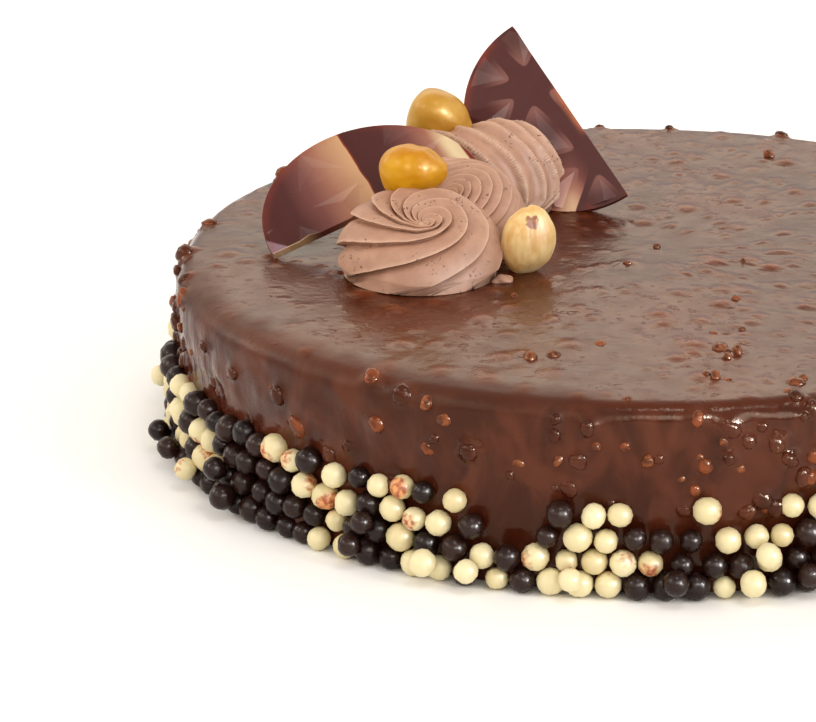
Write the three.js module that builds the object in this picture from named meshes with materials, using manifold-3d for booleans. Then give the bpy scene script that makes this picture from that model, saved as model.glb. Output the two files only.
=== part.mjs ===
// A round hazelnut cake. A low disc is coated in chocolate glaze with chopped nuts in it, a band of
// chocolate pearls is pressed into the foot of its side, and three piped swirls, three hazelnuts and
// two half-disc chocolate plaques stand on its top.
// Millimetres, +Z up. The origin is the middle of the flat base, and the front of the cake faces -Y.
import * as THREE from 'three';
import { mergeVertices } from 'three/addons/utils/BufferGeometryUtils.js';
import Module from 'manifold-3d';

const wasm = await Module();
wasm.setup();

// Clearance that pieces touching each other keep
const GAP = 0.3;

// Glazed body
const CAKE = { radius: 100, footRadius: 99, height: 41, rimRadius: 5, rimSteps: 4, sides: 64 };

// Pearls in staggered rows on the side; share is the part of the places that hold a pearl
const PEARLS = {
  rows: 4, places: 108, share: 0.51, firstHeight: 3.2, rowPitch: 5.8,
  smallest: 2.7, largest: 3.1, sunk: 0.8, turnJitter: 0.12, heightJitter: 0.5, seed: 11,
};

// Chopped nuts under the glaze, on the top and on the upper side
const CHOPPED_NUTS = {
  onTop: 32, onSide: 18, smallest: 1.8, largest: 2.9, flatness: 0.75, sunk: 0.1,
  topReach: 92, sideLow: 28, sideHigh: 34, seed: 5,
};
const CLEAR_ZONE = { x: -44, y: 8, radius: 47 };

// Piped swirls: foot circle, crest height, the whirl's middle measured from the foot's middle, and
// the direction in which the whirl lies open to view
const SWIRL = {
  ridges: 8, stepsPerRidge: 4, rings: 10, twist: THREE.MathUtils.degToRad(250),
  depth: 1.8, fadeIn: 0.4, heart: 0.35,
};
// Share of the radius and of the height along a swirl's outline, on its high and on its open side
const HIGH_SIDE = [
  [0.93, 0], [1.0, 0.16], [0.98, 0.44], [0.87, 0.76], [0.66, 0.97], [0.45, 1.0], [0.2, 0.9], [0, 0.76],
];
const OPEN_SIDE = [
  [0.93, 0], [1.0, 0.1], [0.96, 0.32], [0.82, 0.54], [0.6, 0.68], [0.4, 0.74], [0.2, 0.76], [0, 0.76],
];
const SWIRLS = {
  rosette_front: {
    x: -48, y: -17, radius: 17.5, height: 16.5, whirlX: 0.8, whirlY: -5.5, opens: -80, turn: 0.2,
  },
  rosette_middle: {
    x: -41, y: 2, radius: 16.5, height: 18.4, whirlX: -3, whirlY: -10, opens: -110, turn: 0.5,
  },
  rosette_back: {
    x: -34.5, y: 33, radius: 19, height: 17.8, whirlX: -8, whirlY: 1, opens: 200, turn: 0.9,
  },
};

// Hazelnuts: middle, half width, half length, and where the pointed end looks
const NUT = { around: 12, along: 8, point: 0.1, lobes: 3, lobeDepth: 0.03 };
const NUTS = {
  hazelnut_front: { at: [-50, -6, 60], halfWidth: 6.6, halfLength: 7.5, looks: [1, -0.25, 0.15] },
  hazelnut_back: { at: [-44.2, 35, 60.7], halfWidth: 6.6, halfLength: 7.2, looks: [0.9, 0, -0.45] },
  hazelnut_right: { at: [-25.2, -17.2, 48.8], halfWidth: 6.1, halfLength: 7.4, looks: [0.35, -0.45, 1] },
};

// Half-disc plaques: the corners of the straight edge, how far the disc leans about that edge, and
// one hub of the net of flat arms between its pads, with the net's turn
const PLAQUE = {
  thickness: 2.2, arcSteps: 18, hubPitch: 22, armWidth: 3, padHeight: 1, padSunk: 0.3,
};
const PLAQUES = {
  plaque_left: { from: [-79.8, -8.6, 42.2], to: [-35.8, 8, 58.5], lean: -66, hub: [5, 12], skew: 5 },
  plaque_right: { from: [-1.6, 26.6, 45.2], to: [-27, 51, 77.7], lean: 228.5, hub: [9.8, 4.6], skew: 9 },
};

const GLAZE = new THREE.MeshStandardMaterial({ color: 0x5a3220, roughness: 0.25 });
const CREAM = new THREE.MeshStandardMaterial({ color: 0xb58d78, roughness: 0.6 });
const TOASTED = new THREE.MeshStandardMaterial({ color: 0xd9a02c, roughness: 0.3 });
const BLANCHED = new THREE.MeshStandardMaterial({ color: 0xe3c884, roughness: 0.5 });
const DARK_CHOCOLATE = new THREE.MeshStandardMaterial({ color: 0x4a2320, roughness: 0.3 });

// A small repeatable random source, 0 to 1
function randomFrom(seed) {
  let state = seed;
  return () => {
    state = (state * 16807) % 2147483647;
    return state / 2147483647;
  };
}

function between(random, low, high) {
  return low + (high - low) * random();
}

function toSolid(geometry) {
  const bare = geometry.clone();
  bare.deleteAttribute('normal');
  bare.deleteAttribute('uv');
  const merged = mergeVertices(bare, 1e-4);
  const whole = keepRealTriangles(merged);
  return new wasm.Manifold(new wasm.Mesh({
    numProp: 3,
    vertProperties: merged.attributes.position.array,
    triVerts: whole,
  }));
}

// Triangles whose corners have merged at a pole or on the axis are left out
function keepRealTriangles(geometry) {
  const corners = geometry.index.array;
  const kept = [];
  for (let i = 0; i < corners.length; i += 3) {
    const [a, b, c] = [corners[i], corners[i + 1], corners[i + 2]];
    if (a !== b && b !== c && c !== a) kept.push(a, b, c);
  }
  return Uint32Array.from(kept);
}

function toGeometry(solid) {
  const { vertProperties, triVerts } = solid.getMesh();
  const geometry = new THREE.BufferGeometry();
  geometry.setAttribute('position', new THREE.BufferAttribute(vertProperties, 3));
  geometry.setIndex(new THREE.BufferAttribute(triVerts, 1));
  geometry.computeVertexNormals();
  return geometry;
}

// A cut can part a thin scrap from a solid: only the largest piece is kept
function largestPiece(solid) {
  const pieces = solid.decompose();
  return pieces.reduce((best, piece) => (piece.volume() > best.volume() ? piece : best));
}

function named(name, geometry, material) {
  const mesh = new THREE.Mesh(geometry, material);
  mesh.name = name;
  return mesh;
}

// Turned about X so that the lathe's axis, which is Y, stands along +Z
function lathe(points, sides) {
  const geometry = new THREE.LatheGeometry(points, sides);
  return geometry.rotateX(Math.PI / 2);
}

function glazedBody() {
  const { radius, footRadius, height, rimRadius, rimSteps, sides } = CAKE;
  const rim = [];
  for (let i = 0; i <= rimSteps; i++) {
    const angle = (i / rimSteps) * (Math.PI / 2);
    rim.push(new THREE.Vector2(
      radius - rimRadius + rimRadius * Math.cos(angle),
      height - rimRadius + rimRadius * Math.sin(angle),
    ));
  }
  const foot = [new THREE.Vector2(0, 0), new THREE.Vector2(footRadius, 0)];
  return toSolid(lathe([...foot, ...rim, new THREE.Vector2(0, height)], sides));
}

// Radius of the side at a height below the rim
function wallRadius(height) {
  const straight = CAKE.height - CAKE.rimRadius;
  return CAKE.footRadius + (CAKE.radius - CAKE.footRadius) * Math.min(1, height / straight);
}

// A ball of twenty faces, one corner of it turned inwards into the glaze
function pearl(angle, height, size) {
  const ball = new THREE.IcosahedronGeometry(size, 0);
  const corner = new THREE.Vector3().fromBufferAttribute(ball.attributes.position, 0).normalize();
  const inwards = new THREE.Vector3(-Math.cos(angle), -Math.sin(angle), 0);
  ball.applyQuaternion(new THREE.Quaternion().setFromUnitVectors(corner, inwards));
  const reach = wallRadius(height) * Math.cos(Math.PI / CAKE.sides) + size - PEARLS.sunk;
  ball.translate(reach * Math.cos(angle), reach * Math.sin(angle), height);
  return toSolid(ball);
}

// Places are filled by the golden ratio, which spreads the pearls evenly
function pearls() {
  const random = randomFrom(PEARLS.seed);
  const golden = (Math.sqrt(5) - 1) / 2;
  const step = (2 * Math.PI) / PEARLS.places;
  const made = [];
  for (let row = 0; row < PEARLS.rows; row++) {
    for (let place = 0; place < PEARLS.places; place++) {
      const turn = place + (row % 2) / 2 + PEARLS.turnJitter * (random() - 0.5);
      const lift = row === 0 ? 0 : PEARLS.heightJitter * (random() - 0.5);
      const size = between(random, PEARLS.smallest, PEARLS.largest);
      if (((place + row * PEARLS.places) * golden) % 1 >= PEARLS.share) continue;
      made.push(pearl(turn * step, PEARLS.firstHeight + row * PEARLS.rowPitch + lift, size));
    }
  }
  return made;
}

function choppedNut(random, position, outwards) {
  const size = between(random, CHOPPED_NUTS.smallest, CHOPPED_NUTS.largest);
  const crumb = new THREE.IcosahedronGeometry(size, 0);
  crumb.rotateZ(between(random, 0, Math.PI)).scale(1, between(random, 0.6, 1), CHOPPED_NUTS.flatness);
  crumb.applyQuaternion(new THREE.Quaternion().setFromUnitVectors(new THREE.Vector3(0, 0, 1), outwards));
  const middle = position.addScaledVector(outwards, -CHOPPED_NUTS.sunk * size);
  crumb.translate(middle.x, middle.y, middle.z);
  return toSolid(crumb);
}

function choppedNuts() {
  const random = randomFrom(CHOPPED_NUTS.seed);
  const made = [];
  while (made.length < CHOPPED_NUTS.onTop) {
    const angle = between(random, 0, 2 * Math.PI);
    const reach = CHOPPED_NUTS.topReach * Math.sqrt(random());
    const place = new THREE.Vector3(reach * Math.cos(angle), reach * Math.sin(angle), CAKE.height);
    const away = Math.hypot(place.x - CLEAR_ZONE.x, place.y - CLEAR_ZONE.y);
    if (away < CLEAR_ZONE.radius) continue;
    made.push(choppedNut(random, place, new THREE.Vector3(0, 0, 1)));
  }
  for (let i = 0; i < CHOPPED_NUTS.onSide; i++) {
    const angle = ((i + 0.6 * random()) / CHOPPED_NUTS.onSide) * 2 * Math.PI;
    const height = between(random, CHOPPED_NUTS.sideLow, CHOPPED_NUTS.sideHigh);
    const outwards = new THREE.Vector3(Math.cos(angle), Math.sin(angle), 0);
    const place = outwards.clone().multiplyScalar(wallRadius(height)).setZ(height);
    made.push(choppedNut(random, place, outwards));
  }
  return made;
}

// Both plaques are pressed a little into the soft glaze
function cake() {
  const pieces = [...pearls(), ...choppedNuts()];
  const whole = pieces.reduce((joined, piece) => joined.add(piece), glazedBody());
  const rooms = Object.values(PLAQUES).map(plaqueRoom);
  return named('cake', toGeometry(rooms.reduce((left, room) => left.subtract(room), whole)), GLAZE);
}

// How far a place between two ridges lies below them, 0 on a ridge and 1 in the groove
function groove(phase) {
  return Math.sin(Math.PI * phase ** 0.75);
}

// Rings from the middle of the foot, over the bulge and the crest, to the whirl
function swirlRings(outline) {
  const curve = new THREE.SplineCurve(outline.map(([share, rise]) => new THREE.Vector2(share, rise)));
  const rings = [new THREE.Vector2(0, 0), ...curve.getPoints(SWIRL.rings)];
  rings.at(-1).x = 0;
  return rings;
}

// A ring's spot, moved towards the heart of the swirl where it lies in a groove; the foot stays level
function sinkGroove(spot, side, radius, onFoot) {
  const phase = (side % SWIRL.stepsPerRidge) / SWIRL.stepsPerRidge;
  const fade = Math.min(1, spot.x / SWIRL.fadeIn);
  const outwards = new THREE.Vector2(spot.x, onFoot ? 0 : spot.y - SWIRL.heart).normalize();
  return spot.clone().addScaledVector(outwards, (-SWIRL.depth / radius) * groove(phase) * fade);
}

// How much a direction round a swirl belongs to its open side, 0 to 1
function openShare(angle, opens) {
  return (0.5 + 0.5 * Math.cos(angle - THREE.MathUtils.degToRad(opens))) ** 1.3;
}

// A domed lathe whose rings turn towards the whirl, so that its edges run along the piped ridges
function swirl({ x, y, radius, height, whirlX, whirlY, opens, turn }, grow = 0) {
  const [highRings, openRings] = [HIGH_SIDE, OPEN_SIDE].map(swirlRings);
  const sides = SWIRL.ridges * SWIRL.stepsPerRidge;
  const geometry = new THREE.LatheGeometry(highRings, sides);
  const spots = geometry.attributes.position;
  for (let i = 0; i < spots.count; i++) {
    const ring = i % highRings.length;
    const side = Math.floor(i / highRings.length) % sides;
    const climb = Math.max(0, ring - 1) / (highRings.length - 2);
    const angle = turn + (side / sides) * 2 * Math.PI + SWIRL.twist * climb;
    const ringSpot = highRings[ring].clone().lerp(openRings[ring], openShare(angle, opens));
    const { x: share, y: rise } = sinkGroove(ringSpot, side, radius, ring <= 1);
    const drift = ring === 0 ? 0 : Math.max(0, 1 - ringSpot.x);
    spots.setXYZ(
      i,
      x + whirlX * drift + share * (radius + grow) * Math.cos(angle),
      y + whirlY * drift + share * (radius + grow) * Math.sin(angle),
      CAKE.height + GAP - grow + rise * height + 2 * grow * Math.min(1, 3 * rise),
    );
  }
  return toSolid(geometry);
}

function nutGeometry({ halfWidth, halfLength }, grow = 0) {
  const geometry = new THREE.SphereGeometry(1, NUT.around, NUT.along);
  const spots = geometry.attributes.position;
  const spot = new THREE.Vector3();
  for (let i = 0; i < spots.count; i++) {
    spot.fromBufferAttribute(spots, i);
    const around = Math.atan2(spot.z, spot.x);
    const lobe = 1 - NUT.lobeDepth * (1 - spot.y ** 2) * Math.cos(NUT.lobes * around);
    const pointed = spot.y > 0 ? 1 + NUT.point * spot.y ** 6 : 1;
    spots.setXYZ(
      i,
      spot.x * lobe * (halfWidth + grow),
      spot.y * pointed * (halfLength + grow),
      spot.z * lobe * (halfWidth + grow),
    );
  }
  geometry.computeVertexNormals();
  return geometry;
}

function nutPlacement({ at, looks }) {
  const axis = new THREE.Vector3(...looks).normalize();
  const turn = new THREE.Quaternion().setFromUnitVectors(new THREE.Vector3(0, 1, 0), axis);
  return new THREE.Matrix4().compose(new THREE.Vector3(...at), turn, new THREE.Vector3(1, 1, 1));
}

// Straight edge along X, disc bulging along +Y, faceted face looking along +Z
function plaquePlacement({ from, to, lean }) {
  const start = new THREE.Vector3(...from);
  const end = new THREE.Vector3(...to);
  const along = end.clone().sub(start).normalize();
  const level = along.clone().cross(new THREE.Vector3(0, 0, 1)).normalize();
  const bulge = level.clone().cross(along).applyAxisAngle(along, THREE.MathUtils.degToRad(lean));
  const face = along.clone().cross(bulge);
  return new THREE.Matrix4().makeBasis(along, bulge, face).setPosition(start.add(end).multiplyScalar(0.5));
}

function plaqueRadius({ from, to }) {
  return new THREE.Vector3(...from).distanceTo(new THREE.Vector3(...to)) / 2;
}

function halfDisc(radius, low, high) {
  const outline = new THREE.Shape();
  outline.absarc(0, 0, radius, 0, Math.PI, false);
  outline.closePath();
  const settings = { depth: high - low, bevelEnabled: false, curveSegments: PLAQUE.arcSteps };
  return new THREE.ExtrudeGeometry(outline, settings).translate(0, 0, low);
}

// A low three-sided pyramid that points up or down the net of hubs
function pad(middle, turn, size) {
  const rise = PLAQUE.padHeight + PLAQUE.padSunk;
  const pyramid = new THREE.ConeGeometry(size, rise, 3).rotateX(Math.PI / 2);
  return toSolid(pyramid.rotateZ(turn).translate(middle.x, middle.y, rise / 2 - PLAQUE.padSunk));
}

// The pads between the arms of the net, two for each hub
function pads(radius, { hub, skew }) {
  const size = PLAQUE.hubPitch / Math.sqrt(3) - PLAQUE.armWidth;
  const turn = THREE.MathUtils.degToRad(skew);
  const first = new THREE.Vector2(Math.cos(turn), Math.sin(turn)).multiplyScalar(PLAQUE.hubPitch);
  const second = first.clone().rotateAround(new THREE.Vector2(), Math.PI / 3);
  const third = first.clone().add(second).divideScalar(3);
  const made = [];
  for (let i = -3; i <= 3; i++) {
    for (let j = -3; j <= 3; j++) {
      const corner = new THREE.Vector2(...hub).addScaledVector(first, i).addScaledVector(second, j);
      for (const step of [1, 2]) {
        const middle = corner.clone().addScaledVector(third, step);
        if (middle.length() > radius + size / 2 || middle.y < -size / 2) continue;
        made.push(pad(middle, turn + (step === 1 ? Math.PI : 0), size));
      }
    }
  }
  return made;
}

function plaqueGeometry(spec) {
  const radius = plaqueRadius(spec);
  const plate = toSolid(halfDisc(radius, -PLAQUE.thickness, 0));
  const outline = toSolid(halfDisc(radius, -PLAQUE.thickness, PLAQUE.padHeight * 2));
  const relief = pads(radius, spec).reduce((joined, piece) => joined.add(piece), plate);
  return toGeometry(relief.intersect(outline));
}

// The space that a plaque needs in the cream round it
function plaqueRoom(spec) {
  const room = halfDisc(plaqueRadius(spec) + GAP, -PLAQUE.thickness - GAP, PLAQUE.padHeight + GAP);
  return toSolid(room.translate(0, -GAP, 0).applyMatrix4(plaquePlacement(spec)));
}

function nutRoom(spec) {
  return toSolid(nutGeometry(spec, GAP).applyMatrix4(nutPlacement(spec)));
}

// A swirl with clearance round it, and the swirl itself for the undersides of its ridges
function swirlRoom(spec) {
  return [swirl(spec, 2 * GAP), swirl(spec)];
}

// Each swirl gives way to the swirl in front of it, to the nuts and to the plaques
function rosettes() {
  const rooms = [...Object.values(NUTS).map(nutRoom), ...Object.values(PLAQUES).map(plaqueRoom)];
  const names = Object.keys(SWIRLS);
  return names.map((name, order) => {
    const inFront = names.slice(0, order).flatMap((other) => swirlRoom(SWIRLS[other]));
    const cut = [...inFront, ...rooms].reduce((left, room) => left.subtract(room), swirl(SWIRLS[name]));
    return named(name, toGeometry(largestPiece(cut)), CREAM);
  });
}

function hazelnuts() {
  return Object.entries(NUTS).map(([name, spec]) => {
    const mesh = named(name, nutGeometry(spec), name === 'hazelnut_right' ? BLANCHED : TOASTED);
    mesh.applyMatrix4(nutPlacement(spec));
    return mesh;
  });
}

function plaques() {
  return Object.entries(PLAQUES).map(([name, spec]) => {
    const mesh = named(name, plaqueGeometry(spec), DARK_CHOCOLATE);
    mesh.applyMatrix4(plaquePlacement(spec));
    return mesh;
  });
}

const group = new THREE.Group();
group.add(cake(), ...rosettes(), ...hazelnuts(), ...plaques());

export default group;
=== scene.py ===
# %% [markdown]
# # A hazelnut cake in chocolate glaze
#
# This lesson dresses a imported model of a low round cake. The solids give each piece its place and
# its size, with the middle of the cake's base at the origin, +Z up and the front towards -Y. Food
# shows more than a plain solid can carry, such as runs in the glaze, air holes in the cream and
# stains on the pearls, so a finer piece stands in for every solid.

# %% Load the solids
import math

import bpy
import numpy as np
from mathutils import Matrix, Vector, kdtree, noise


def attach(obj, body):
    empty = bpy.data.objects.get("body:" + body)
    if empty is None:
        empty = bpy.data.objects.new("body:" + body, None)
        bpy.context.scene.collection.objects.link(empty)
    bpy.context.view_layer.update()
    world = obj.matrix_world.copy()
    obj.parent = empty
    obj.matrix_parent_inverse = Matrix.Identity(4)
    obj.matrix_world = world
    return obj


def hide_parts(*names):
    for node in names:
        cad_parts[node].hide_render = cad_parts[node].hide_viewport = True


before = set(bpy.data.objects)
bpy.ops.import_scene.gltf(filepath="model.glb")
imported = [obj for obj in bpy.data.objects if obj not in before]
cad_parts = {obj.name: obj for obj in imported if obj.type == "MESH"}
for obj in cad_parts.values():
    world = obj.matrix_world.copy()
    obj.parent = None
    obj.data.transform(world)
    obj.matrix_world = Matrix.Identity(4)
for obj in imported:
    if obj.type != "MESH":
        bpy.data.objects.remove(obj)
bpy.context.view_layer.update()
MM = 0.001
print("solids:", ", ".join(sorted(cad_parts)))

# %% [markdown]
# ## Camera, floor and light
#
# The camera stands almost a metre away with a long lens and looks down on the cake by 19 degrees.
# The cake fills the right of the frame and runs out of it, so the camera stands a little to the left.
# A white tent of light, which is the world's background, keeps the shadows soft. The tent is brightest
# in a warm band a little above the horizon, which is what the flat top of the cake mirrors. Three
# small soft boxes shape the pieces. Four more show in glossy surfaces alone, because lamps strong
# enough for wet glints would light the cake flat.

# %% Camera
LOOK_DOWN = 18.902
CAMERA_PLACE = (-50.69, -846.91, 304.86)
LENS, SENSOR_WIDTH, NEAREST = 179.55, 36, 0.05


def deselect():
    """Leave nothing selected, so that the next operator acts on its own piece only."""
    bpy.ops.object.select_all(action="DESELECT")


deselect()
bpy.ops.object.camera_add(
    location=[part * MM for part in CAMERA_PLACE],
    rotation=(math.radians(90 - LOOK_DOWN), 0, 0),
)
camera = bpy.context.object
camera.data.sensor_fit = "HORIZONTAL"
camera.data.sensor_width = SENSOR_WIDTH
camera.data.lens = LENS
camera.data.clip_start = NEAREST
bpy.context.scene.camera = camera
print("camera lens", round(camera.data.lens, 1))

# %% Floor
FLOOR_SIZE, FLOOR_GREY = 8, 0.92
deselect()
bpy.ops.mesh.primitive_plane_add(size=FLOOR_SIZE)
floor = bpy.context.object
floor.name = "floor"
floor_finish = bpy.data.materials.new("pale_floor")
floor_finish.use_nodes = True
floor_shader = floor_finish.node_tree.nodes["Principled BSDF"]
floor_shader.inputs["Base Color"].default_value = (FLOOR_GREY, FLOOR_GREY, FLOOR_GREY, 1)
floor_shader.inputs["Roughness"].default_value = 0.7
floor.data.materials.append(floor_finish)
print("floor:", floor_finish.name)

# %% A tent of light
TENT_STRENGTH = 2.0
# Height of a direction, from 0 at the horizon to 1 straight up, and the tent's colour there.
TENT_BANDS = [
    (0.0, (0.28, 0.28, 0.28, 1)),
    (0.2, (0.34, 0.33, 0.32, 1)),
    (0.26, (0.6, 0.55, 0.48, 1)),
    (0.35, (1.24, 1.05, 0.84, 1)),
    (0.46, (1.24, 1.07, 0.87, 1)),
    (0.72, (0.42, 0.42, 0.42, 1)),
    (1.0, (0.27, 0.27, 0.27, 1)),
]


def set_stops(ramp, stops):
    """Give a colour ramp its stops, a list of (place, colour)."""
    while len(ramp.elements) < len(stops):
        ramp.elements.new(0.5)
    for element, (place, colour) in zip(ramp.elements, stops):
        element.position = place
        element.color = colour


def raise_tent():
    """A world whose light changes with the height of a direction."""
    tent = bpy.data.worlds.new("light_tent")
    tent.use_nodes = True
    nodes, links = tent.node_tree.nodes, tent.node_tree.links
    direction = nodes.new("ShaderNodeTexCoord")
    parts = nodes.new("ShaderNodeSeparateXYZ")
    bands = nodes.new("ShaderNodeValToRGB")
    set_stops(bands.color_ramp, TENT_BANDS)
    links.new(direction.outputs["Generated"], parts.inputs["Vector"])
    links.new(parts.outputs["Z"], bands.inputs["Fac"])
    links.new(bands.outputs["Color"], nodes["Background"].inputs["Color"])
    nodes["Background"].inputs["Strength"].default_value = TENT_STRENGTH
    bpy.context.scene.world = tent


raise_tent()
bpy.context.scene.view_settings.view_transform = "Standard"
print("bands of the tent:", len(TENT_BANDS))

# %% Soft boxes
# Name, place, width and height in metres, watts, and whether the box shows in gloss alone.
SOFT_BOXES = [
    ("right_light", (1.1, -1.0, 0.9), 0.3, 0.3, 4, False),
    ("left_light", (-1.1, -0.5, 0.9), 0.25, 0.25, 3, False),
    ("top_light", (0.2, -0.5, 1.3), 0.3, 0.3, 3, False),
    ("right_glints", (1.1, -1.0, 0.5), 0.3, 0.4, 45, True),
    ("front_glints", (0.3, -1.4, 0.75), 0.12, 0.16, 4, True),
    ("left_glints", (-1.4, 0.6, 0.6), 0.2, 0.3, 2, True),
    ("veil_light", (0.6, -1.6, 0.8), 1.3, 0.7, 14, True),
]
CAKE_MIDDLE = (0, 0, 0.04)


def add_softbox(name, place, width, height, power, gloss_only):
    """A light that faces the cake. One for gloss alone shows only as a reflection."""
    deselect()
    bpy.ops.object.light_add(type="AREA", location=place)
    lamp = bpy.context.object
    lamp.name = name
    lamp.data.shape = "RECTANGLE"
    lamp.data.size, lamp.data.size_y = width, height
    lamp.data.energy = power
    lamp.visible_diffuse = not gloss_only
    towards = Vector(CAKE_MIDDLE) - Vector(place)
    lamp.rotation_euler = towards.to_track_quat("-Z", "Y").to_euler()


for box in SOFT_BOXES:
    add_softbox(*box)

# %% [markdown]
# ## Writing finishes as arithmetic
#
# A finish is a net of shader nodes. Placing them one by one hides what they work out, so one small
# class wraps a socket: adding or multiplying wrapped sockets adds the Math node that does it, and its
# node method adds any other kind. Every pattern reads Object coordinates, which are metres here.

# %% A socket that does arithmetic
class Field:
    """A value, colour or vector that changes over a surface: one output socket of a finish."""

    def __init__(self, tree, socket):
        self.tree = tree
        self.socket = socket

    def node(self, kind, settings, sockets, out=0):
        """Add a node of a kind: first its settings, then the values or links of its sockets."""
        new = self.tree.nodes.new(kind)
        for name, value in settings.items():
            if name == "stops":
                set_stops(new.color_ramp, value)
            else:
                setattr(new, name, value)
        for name, value in sockets.items():
            if isinstance(value, Field):
                self.tree.links.new(value.socket, new.inputs[name])
            else:
                new.inputs[name].default_value = value
        return Field(self.tree, new.outputs[out])

    def math(self, operation, first, second):
        return self.node("ShaderNodeMath", {"operation": operation}, {0: first, 1: second})

    def __add__(self, other):
        return self.math("ADD", self, other)

    def __sub__(self, other):
        return self.math("SUBTRACT", self, other)

    def __rsub__(self, other):
        return self.math("SUBTRACT", other, self)

    def __mul__(self, other):
        return self.math("MULTIPLY", self, other)

    def __truediv__(self, other):
        return self.math("DIVIDE", self, other)

    __radd__ = __add__
    __rmul__ = __mul__


print("socket class:", Field.__name__)

# %% Patterns that several finishes use
def colour(red, green, blue):
    """A shader's linear colour from the 0 to 255 values that a screen shows."""
    def linear(level):
        share = level / 255
        return share / 12.92 if share <= 0.04045 else ((share + 0.055) / 1.055) ** 2.4
    return linear(red), linear(green), linear(blue), 1


def mottle(place, size_mm, detail=2.0, distortion=0.0):
    """Soft noise from 0 to 1 with spots of about that size."""
    sockets = {"Vector": place, "Scale": 1 / (size_mm * MM), "Detail": detail, "Distortion": distortion}
    return place.node("ShaderNodeTexNoise", {}, sockets)


def drawn_out(place, squeeze):
    """The place with its height squeezed, so that a pattern on it is drawn out upwards."""
    return place.node("ShaderNodeVectorMath", {"operation": "MULTIPLY"}, {0: place, 1: (1, 1, squeeze)})


def rise(value, low, high):
    """0 below low, 1 above high and a smooth slope between."""
    sockets = {"Value": value, "From Min": low, "From Max": high}
    return value.node("ShaderNodeMapRange", {"interpolation_type": "SMOOTHSTEP"}, sockets)


def blend(mask, first, second):
    """The first colour where the mask is 0 and the second where it is 1."""
    sockets = {"Factor": mask, 6: first, 7: second}
    return mask.node("ShaderNodeMix", {"data_type": "RGBA"}, sockets, out=2)


def bump(height, depth_mm):
    """A normal from a height that runs from 0 to 1 over the depth."""
    sockets = {"Height": height, "Distance": depth_mm * MM, "Strength": 1.0}
    return height.node("ShaderNodeBump", {}, sockets)


print("middle grey of a screen as a linear value:", round(colour(128, 128, 128)[0], 3))

# %% Making a finish
def start_finish(name):
    """A new finish and the Object coordinates that its patterns read."""
    finish = bpy.data.materials.new(name)
    finish.use_nodes = True
    tree = finish.node_tree
    return finish, Field(tree, tree.nodes.new("ShaderNodeTexCoord").outputs["Object"])


def own_value(place, name):
    """A value that the mesh itself carries in an attribute."""
    return place.node("ShaderNodeAttribute", {"attribute_name": name}, {}, out="Fac")


def set_shader(finish, **sockets):
    """Set or link sockets of the finish's shader, with _ for each space in a name."""
    shader = finish.node_tree.nodes["Principled BSDF"]
    for name, value in sockets.items():
        socket = shader.inputs[name.replace("_", " ")]
        if isinstance(value, Field):
            finish.node_tree.links.new(value.socket, socket)
        else:
            socket.default_value = value


def dress(piece, finish, node):
    """Give a piece its finish and let it stand in for a node of the solids."""
    piece.data.materials.append(finish)
    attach(piece, "root")
    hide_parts(node)


print("shader sockets:", len(floor_shader.inputs))

# %% [markdown]
# ## The glazed body
#
# The cake was set on a rack and a nut glaze poured over it, so its rim is round, its wall carries
# runs, and chopped nuts stand out as lumps under the skin. Half its outline is drawn as a chain of
# edges and spun round the middle, as on a potter's wheel. Lumps and runs then move the points along
# their normals: real relief, because it breaks the cake's outline and the exported mesh keeps it.

# %% Spin the outline
GLAZE_RADIUS, GLAZE_FOOT, GLAZE_HEIGHT, GLAZE_RIM = 100, 99, 41, 4
GLAZE_TURNS = 700
BASE_STEPS, WALL_STEPS, RIM_STEPS, TOP_STEPS = 4, 42, 10, 76
FOOT_EDGE = 0.5
WELD = 0.002


def add_chain(name, spots):
    """A new piece that is one chain of edges through spots in millimetres."""
    deselect()
    bpy.ops.mesh.primitive_plane_add(size=MM)
    piece = bpy.context.object
    piece.name = piece.data.name = name
    bpy.ops.object.mode_set(mode="EDIT")
    bpy.ops.mesh.merge(type="CENTER")
    bpy.ops.transform.translate(value=Vector(spots[0]) * MM)
    for last, spot in zip(spots, spots[1:]):
        step = (Vector(spot) - Vector(last)) * MM
        bpy.ops.mesh.extrude_region_move(TRANSFORM_OT_translate={"value": step})
    bpy.ops.object.mode_set(mode="OBJECT")
    return piece


def spin_round(piece, turns):
    """Spin a chain round the Z axis into a closed smooth body."""
    bpy.ops.object.mode_set(mode="EDIT")
    bpy.ops.mesh.select_all(action="SELECT")
    bpy.ops.mesh.spin(steps=turns, angle=math.tau, center=(0, 0, 0), axis=(0, 0, 1))
    bpy.ops.mesh.select_all(action="SELECT")
    bpy.ops.mesh.remove_doubles(threshold=WELD * MM)
    bpy.ops.mesh.normals_make_consistent(inside=False)
    bpy.ops.object.mode_set(mode="OBJECT")
    bpy.ops.object.shade_smooth()


def glaze_outline():
    """Half the cake's outline, from the middle of its base up the wall and over the rim."""
    wall_top = GLAZE_HEIGHT - GLAZE_RIM
    lean = (GLAZE_RADIUS - GLAZE_FOOT) / wall_top
    inner = GLAZE_RADIUS - GLAZE_RIM
    base = [(r, 0, 0) for r in np.linspace(0, GLAZE_FOOT - FOOT_EDGE, BASE_STEPS)]
    wall = [(GLAZE_FOOT + lean * z, 0, z) for z in np.linspace(FOOT_EDGE, wall_top, WALL_STEPS)]
    rim = [(inner + GLAZE_RIM * math.cos(a), 0, wall_top + GLAZE_RIM * math.sin(a))
           for a in np.linspace(0, math.pi / 2, RIM_STEPS)[1:]]
    top = [(r, 0, GLAZE_HEIGHT) for r in np.linspace(inner, 0, TOP_STEPS)[1:]]
    return base + wall + rim + top


glaze = add_chain("glaze_body", glaze_outline())
spin_round(glaze, GLAZE_TURNS)
print("glaze points:", len(glaze.data.vertices))

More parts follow.
